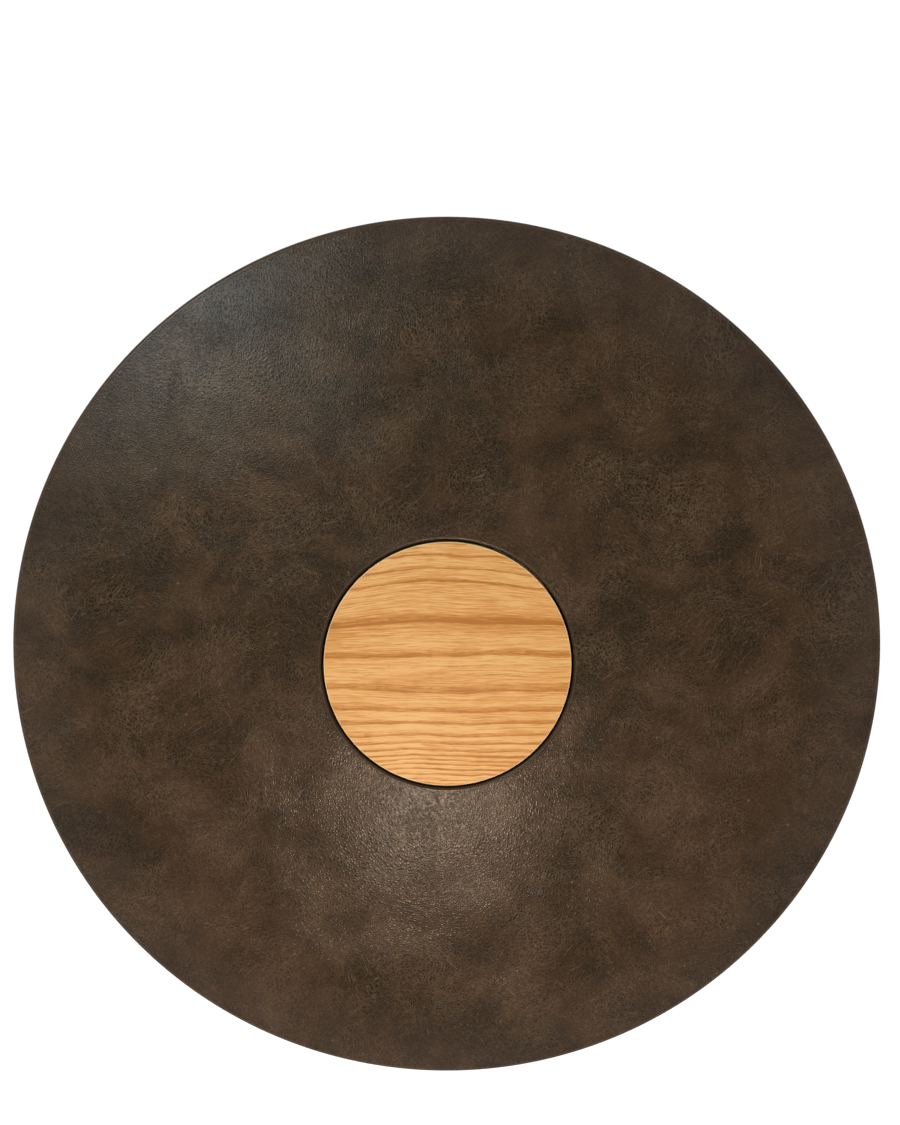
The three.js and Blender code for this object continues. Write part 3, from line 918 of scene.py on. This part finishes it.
def lath_rings(ends, look, seed):
    """Sections of a lath: upright to the ring at each level, split a little uneven."""
    offset = ends.radius - lattice.end_radius
    sense = math.copysign(1.0, offset)
    foot, head = (
        Vector((math.cos(azimuth), math.sin(azimuth))) * lattice.end_radius
        for azimuth in (ends.azimuth, ends.azimuth + ends.turn)
    )
    steps = 56
    rings = []
    for step in range(steps + 1):
        t = step / steps
        middle = foot.lerp(head, t)
        level = ends.low + (ends.high - ends.low) * t
        out = middle.normalized()
        side = Vector((-out.y, out.x))
        insets = [
            look.lath_uneven * (0.5 + 0.5 * noise.noise((seed * 9.7 + lane * 31.0, t * 3.1, lane)))
            for lane in range(3)
        ]
        left, right = insets[0] - ends.width / 2, ends.width / 2 - insets[1]
        near = -sense * ends.thickness / 2
        far = sense * (ends.thickness / 2 - 0.25 * insets[2])
        section = rounded(box_outline(left, right, near, far), look.lath_edge, steps=4)
        rings.append([(*(middle + side * p.x + out * (offset + p.y)), level) for p in section])
    return rings


class EQUIPALE_OT_laths(bpy.types.Operator):
    """Build the two crossing layers of split cedar laths"""

    bl_idname = "equipale.laths"
    bl_label = "Laths"
    bl_options = {"REGISTER", "UNDO"}

    def execute(self, context):
        look = context.scene.equipale_base
        cedar = timber_finish(
            "split cedar", look.lath_light, look.lath_dark, spacing=3.2 * MM, roughness=0.62
        )
        draw = np.random.default_rng(11)
        for seed, node in enumerate(lath_nodes):
            rings = lath_rings(lath_ends(node), look, seed)
            name = node.replace("strip", "lath")
            made = skinned(name, rings, shift=tuple(draw.uniform(0.0, 20.0, 2)))
            tone = made.data.attributes.new("tone", "FLOAT", "POINT")
            tone.data.foreach_set("value", [draw.uniform(-1.0, 1.0)] * len(made.data.vertices))
            settle(made, cedar, "strip_cedar", node)
        return {"FINISHED"}


def end_ring(name):
    """The closed and the open level of an end ring."""
    low, high = levels_of(f"{name}_outer_hoop")
    return (low, high) if name == "lower" else (high, low)


def offsets_at(node, level):
    """Where a hoop's or band's faces lie, measured from the lattice."""
    return [radius - lattice.radius(level) for radius in radii_at(node, level)]


class EQUIPALE_OT_hoops(bpy.types.Operator):
    """Bend the hoops that grip the laths at the foot, the head and the waist"""

    bl_idname = "equipale.hoops"
    bl_label = "Hoops"
    bl_options = {"REGISTER", "UNDO"}

    def execute(self, context):
        look = context.scene.equipale_base
        wood = timber_finish(
            "bent hoop wood", look.hoop_light, look.hoop_dark, spacing=4.5 * MM
        )
        for ring in ("lower", "upper"):
            closed, opened = end_ring(ring)
            for layer in ("inner", "outer"):
                node = f"{ring}_{layer}_hoop"
                outline = [
                    (lattice.radius(level) + offset, level)
                    for offset, level in box_outline(*offsets_at(node, opened), opened, closed)
                ]
                made = turned(f"{ring}_{layer}_bent_hoop", rounded(outline, 1.8 * MM))
                settle(made, wood, "hoop_wood", node)
        made = plain_ring("waist_bent_hoop", "waist_hoop", 2.5 * MM)
        settle(made, wood, "hoop_wood", "waist_hoop")
        return {"FINISHED"}


def band_outline(ring):
    """The folded band of an end ring: the lines of its outer and of its inner face."""
    node = f"{ring}_leather_band"
    closed, opened = end_ring(ring)
    edge = levels_of(node)[0 if ring == "lower" else 1]
    sense = math.copysign(1.0, edge - closed)
    thickness = abs(edge - closed) - FIT_GAP
    inside, outside = offsets_at(node, opened)
    bend = 3.5 * MM
    fold_level = edge - sense * bend
    fold_radius, open_radius = lattice.radius(fold_level), lattice.radius(opened)

    def line(inset):
        inner = arc(fold_radius + inside + bend, 0, bend - inset, math.pi, math.pi / 2)
        outer = arc(fold_radius + outside - bend, 0, bend - inset, math.pi / 2, 0)
        fold = [(radius, fold_level + sense * rise) for radius, rise in inner + outer]
        start, end = open_radius + inside + inset, open_radius + outside - inset
        return [(start, opened), *fold, (end, opened)]

    return line(0.0), line(thickness)


def stitch_row(name, radius, level, look, facing):
    """Running stitches of flat thong round a face: each dips into the leather at its ends."""
    wide, thick, proud, deep = 3.6 * MM, 1.3 * MM, 0.55 * MM, 1.9 * MM
    section = rounded(box_outline(-thick / 2, thick / 2, -wide / 2, wide / 2), 0.5 * MM, steps=3)
    steps = 12
    rings = []
    for step in range(steps + 1):
        t = step / steps
        middle = radius + facing * (proud - thick / 2 - deep * abs(2 * t - 1) ** 4)
        placed = [(middle + p.x, level + p.y) for p in section]
        rings.append(turned_rings(placed, [look.stitch * (t - 0.5) / radius])[0])
    count = round(TURN * radius / (look.stitch + look.stitch_gap))
    return gathered(name, skinned("stitch", rings), around_axis(count))


class EQUIPALE_OT_leather_bands(bpy.types.Operator):
    """Fold the stitched leather bands over the hoops of the end rings"""

    bl_idname = "equipale.leather_bands"
    bl_label = "Leather bands"
    bl_options = {"REGISTER", "UNDO"}

    def execute(self, context):
        look = context.scene.equipale_base
        hide = hide_finish("band hide", context.scene.equipale_top)
        thong = thong_finish(look)
        margin = 9 * MM
        for ring in ("lower", "upper"):
            node = f"{ring}_leather_band"
            outer_line, inner_line = band_outline(ring)
            made = turned(f"{ring}_band", outer_line + inner_line[::-1])
            settle(made, hide, "band_leather", node)
            closed, opened = end_ring(ring)
            level = opened + math.copysign(margin, closed - opened)
            offsets = offsets_at(node, opened)
            for face, facing, offset in zip(("inner", "outer"), (-1, 1), offsets):
                radius = lattice.radius(level) + offset
                row = stitch_row(f"{ring}_{face}_stitches", radius, level, look, facing)
                settle(row, thong, "rawhide")
        return {"FINISHED"}


# Route of the waist lacing: shares of the space from one crossing to the next, of the half
# height of the hoop, and of the depth from the outside of the crossings to the inside.
LACE_STEP_SHARES = (
    (-0.28, -1.15, 0.0), (-0.14, -0.5, 0.0), (0.0, 0.0, 0.0), (0.14, 0.5, 0.0), (0.28, 1.15, 0.0),
    (0.35, 1.45, 0.45), (0.43, 1.2, 1.0), (0.5, 0.0, 1.0), (0.57, -1.2, 1.0), (0.65, -1.45, 0.45),
)


def strides(points):
    """Distances from each point of a row to the next."""
    return np.linalg.norm(np.diff(points, axis=0), axis=1)


def smooth_route(points, steps):
    """Evenly spaced points along a smooth curve through points."""
    points = np.asarray(points, float)
    ends = [2 * points[0] - points[1], 2 * points[-1] - points[-2]]
    padded = np.concatenate([[ends[0]], points, [ends[1]]])
    knots = sums(strides(padded) ** 0.5)
    route = []
    for i in range(len(points) - 1):
        p, k = padded[i:i + 4], knots[i:i + 4]
        for t in np.linspace(k[1], k[2], 24, endpoint=False):
            a = [p[j] + (p[j + 1] - p[j]) * (t - k[j]) / (k[j + 1] - k[j]) for j in range(3)]
            b = [a[j] + (a[j + 1] - a[j]) * (t - k[j]) / (k[j + 2] - k[j]) for j in range(2)]
            route.append(b[0] + (b[1] - b[0]) * (t - k[1]) / (k[2] - k[1]))
    route = np.array(route + [points[-1]])
    lengths = sums(strides(route))
    even = np.linspace(0.0, lengths[-1], steps)
    return np.stack([np.interp(even, lengths, route[:, axis]) for axis in range(3)], 1)


def lace_rings():
    """Sections of the thong that ties each crossing to the waist hoop."""
    wide, thick, clearance = 8 * MM, 2.6 * MM, 0.8 * MM
    section = rounded(box_outline(-wide / 2, wide / 2, -thick / 2, thick / 2), 0.8 * MM, steps=3)
    spare = clearance + thick / 2
    lath = lath_ends("outer_strip_01")
    reach = lattice.waist_radius + lath.radius - lattice.end_radius + lath.thickness / 2
    outside = math.hypot(reach, lath.width / 2) + spare
    low, high = levels_of("waist_hoop")
    half_facet = math.pi / 48
    inside = least_radius("waist_hoop") * math.cos(half_facet) - spare
    rise = (high - low) / 2 + spare
    points = []
    for stitch in range(pairs):
        for along, height, depth in LACE_STEP_SHARES:
            azimuth = (1 + stitch + along) * TURN / pairs
            radius = outside + (inside - outside) * depth
            level = lattice.waist + rise * height
            points.append((radius * math.cos(azimuth), radius * math.sin(azimuth), level))
    route = smooth_route(points, pairs * 64)
    runs = np.gradient(route, axis=0)
    runs /= np.linalg.norm(runs, axis=1)[:, None]
    core, depth = (outside + inside) / 2, (outside - inside) / 2
    rings = []
    for here, run in zip(route, runs):
        azimuth = math.atan2(here[1], here[0])
        across = ((math.hypot(here[0], here[1]) - core) / depth) ** 3 / depth
        up = ((here[2] - lattice.waist) / rise) ** 3 / rise
        normal = np.array([math.cos(azimuth) * across, math.sin(azimuth) * across, up])
        normal -= run * (normal @ run)
        normal /= np.linalg.norm(normal)
        side = np.cross(normal, run)
        rings.append([here + side * p.x + normal * p.y for p in section])
    return rings


class EQUIPALE_OT_lacing(bpy.types.Operator):
    """Lace every crossing of the laths to the waist hoop with one thong"""

    bl_idname = "equipale.lacing"
    bl_label = "Waist lacing"
    bl_options = {"REGISTER", "UNDO"}

    def execute(self, context):
        made = skinned("waist_thong", lace_rings())
        settle(made, bpy.data.materials["rawhide"], "rawhide", "waist_lacing")
        return {"FINISHED"}


class EQUIPALE_OT_fasteners(bpy.types.Operator):
    """Put in the screws and blocks that hold the top, and the tacks of the hem"""

    bl_idname = "equipale.fasteners"
    bl_label = "Blocks, screws and tacks"
    bl_options = {"REGISTER", "UNDO"}

    def execute(self, context):
        look = context.scene.equipale_base
        brass = metal_finish("brass", BRASS, BRASS_DULL)
        iron = metal_finish("blued iron", IRON, IRON_DULL)
        for node in nodes_named("_screw_"):
            made = screw_shape(node.replace("_screw_", "_brass_screw_"), node)
            bored(made, [mesh_box("slot", 12 * MM, 1 * MM, 2 * MM)])
            made.matrix_world = screw_axis(node)
            settle(made, brass, "screw_steel", node)
        for node in nodes_named("top_block"):
            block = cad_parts[node]
            block.data.materials.clear()
            block.data.materials.append(bpy.data.materials["birch plywood"])
            bevel = block.modifiers.new("eased edges", "BEVEL")
            bevel.width = 1.2 * MM
            bevel.segments = 3
            bevel.limit_method = "ANGLE"
            bevel.angle_limit = SHARP_EDGE
        dome = ((0, 0.3), (3.2, 0.3), (3.2, 0), (2.6, -0.9), (1.5, -1.45), (0, -1.6))
        dome = [(radius * MM, level * MM) for radius, level in dome]
        tack = turned("tack", dome, facets=20, through=True)
        low, from_hem = levels_of(COVER)[0], 8 * MM
        seat = Matrix.Translation((radii_at(COVER, low)[0] + from_hem, 0, low))
        row = gathered("hem_tacks", tack, [turn @ seat for turn in around_axis(look.tacks)])
        settle(row, iron, "screw_steel")
        return {"FINISHED"}


# Stage

def add_lamp(name, size, place, level, tint, aim):
    """An area lamp that gives a surface that faces it, at its aim, that share of full light."""
    light = bpy.data.lights.new(name, "AREA")
    light.shape = "DISK"
    light.size = size
    light.color = tint
    made = linked(name, light)
    made.location = place
    way = Vector(aim) - made.location
    made.rotation_euler = way.to_track_quat("-Z", "Y").to_euler()
    light.energy = level * math.pi**2 * way.length_squared
    return made


def stage_world(ambient):
    """Even light from all round. Seen directly or in a gloss it is white, and dim overhead."""
    world = bpy.data.worlds.new("studio")
    bpy.context.scene.world = world
    world.use_nodes = True
    sky = Recipe(world.node_tree)
    upward = sky.part(sky.place("Generated"), 2)
    overhead = sky.node("MapRange", {0: upward, 1: 0.30, 2: 0.75, 3: 1.0, 4: 0.06})
    ray = sky.node("LightPath").node.outputs
    seen = sky.math("MAXIMUM", ray["Is Glossy Ray"], ray["Is Transmission Ray"])
    level = sky.node("Mix", {0: seen, 2: ambient, 3: overhead})
    level = sky.node("Mix", {0: ray["Is Camera Ray"], 2: level, 3: 1.0})
    background = sky.tree.nodes["Background"]
    background.inputs["Color"].default_value = sky.solid(WHITE)
    sky.tree.links.new(level, background.inputs["Strength"])


def stage_floor():
    """A pale floor that keeps a soft shadow and otherwise shows as white."""
    reach = 16.0
    points = [(x, y, 0) for x, y in box_outline(-reach, reach, -reach, reach)]
    floor = mesh_object("floor", points, [[0, 1, 2, 3]])
    sockets = {"Base Color": (*FLOOR, 1.0), "Roughness": 0.9, "Specular IOR Level": 0.0}
    finish = Finish("pale floor", sockets)
    ray = finish.node("LightPath").node.outputs
    seen = finish.math("MAXIMUM", ray["Is Camera Ray"], ray["Is Glossy Ray"])
    seen = finish.math("MAXIMUM", seen, ray["Is Transmission Ray"])
    level = finish.span(finish.distance(finish.place()), 0.7, 1.4, 1.17, 1.42)
    glow = finish.node("Emission", {"Color": finish.solid(WHITE), "Strength": level})
    lit = {0: finish.times(seen, 0.75), 1: finish.shader.outputs[0], 2: glow}
    from_under = finish.node("NewGeometry", output=6)
    clear = finish.node("BsdfTransparent")
    mixed = finish.node("MixShader", {0: from_under, 1: finish.node("MixShader", lit), 2: clear})
    finish.tree.links.new(mixed, finish.tree.nodes["Material Output"].inputs["Surface"])
    floor.data.materials.append(finish.material)


class EQUIPALE_OT_stage(bpy.types.Operator):
    """Set the camera over the table, the soft lamps and the pale floor"""

    bl_idname = "equipale.stage"
    bl_label = "Camera, light and floor"
    bl_options = {"REGISTER", "UNDO"}

    def execute(self, context):
        look = context.scene.equipale_stage
        camera = linked("camera", bpy.data.cameras.new("camera"))
        camera.data.lens = 25.6
        place = Matrix.Translation((-0.0006, 0.2044, top_level + look.camera_height))
        lean, roll = math.radians(-5.37), math.radians(-0.21)
        turn = Matrix.Rotation(lean, 4, "X") @ Matrix.Rotation(roll, 4, "Y")
        camera.matrix_world = place @ turn
        context.scene.camera = camera
        middle, waist = (0.0, 0.0, top_level), (0.0, 0.0, top_level / 2)
        above_edge = (-0.034, -0.60, top_level + 1.12)
        add_lamp("ceiling lamp", 0.16, above_edge, look.lamp_level, look.lamp_tint, middle)
        beside = (-1.30, 1.12, top_level + 3.0)
        add_lamp("window", 1.0, beside, look.window_level, look.window_tint, middle)
        for x, y in ((3.2, 0.9), (-3.3, 0.5), (0.9, -3.3), (-0.7, 3.4)):
            place = (x, y, 0.85 * top_level)
            side = add_lamp("side lamp", 1.4, place, look.side_level, WHITE, waist)
            side.visible_glossy = False
        stage_world(look.ambient)
        stage_floor()
        context.scene.view_settings.view_transform = "Standard"
        return {"FINISHED"}


# Add-on

OPERATORS = (
    EQUIPALE_OT_stage,
    EQUIPALE_OT_leather_top,
    EQUIPALE_OT_oak_disc,
    EQUIPALE_OT_top_boards,
    EQUIPALE_OT_laths,
    EQUIPALE_OT_hoops,
    EQUIPALE_OT_leather_bands,
    EQUIPALE_OT_lacing,
    EQUIPALE_OT_fasteners,
)
LOOKS = {"equipale_top": TopLook, "equipale_base": BaseLook, "equipale_stage": StageLook}


class EQUIPALE_PT_pieces(bpy.types.Panel):
    """The table's pieces and their settings"""

    bl_idname = "EQUIPALE_PT_pieces"
    bl_label = "Equipale table"
    bl_space_type = "VIEW_3D"
    bl_region_type = "UI"
    bl_category = "Equipale table"

    def draw(self, context):
        for operator in OPERATORS:
            self.layout.operator(operator.bl_idname)
        for pointer, look in LOOKS.items():
            box = self.layout.box()
            for setting in look.__annotations__:
                box.prop(getattr(context.scene, pointer), setting)


CLASSES = (*LOOKS.values(), *OPERATORS, EQUIPALE_PT_pieces)


def register():
    for each in CLASSES:
        bpy.utils.register_class(each)
    for pointer, look in LOOKS.items():
        setattr(bpy.types.Scene, pointer, PointerProperty(type=look))


def unregister():
    for pointer in LOOKS:
        delattr(bpy.types.Scene, pointer)
    for each in reversed(CLASSES):
        bpy.utils.unregister_class(each)


def main():
    """Builds the whole table and its stage."""
    register()
    for operator in OPERATORS:
        group, action = operator.bl_idname.split(".")
        getattr(getattr(bpy.ops, group), action)()


if __name__ == "__main__":
    main()
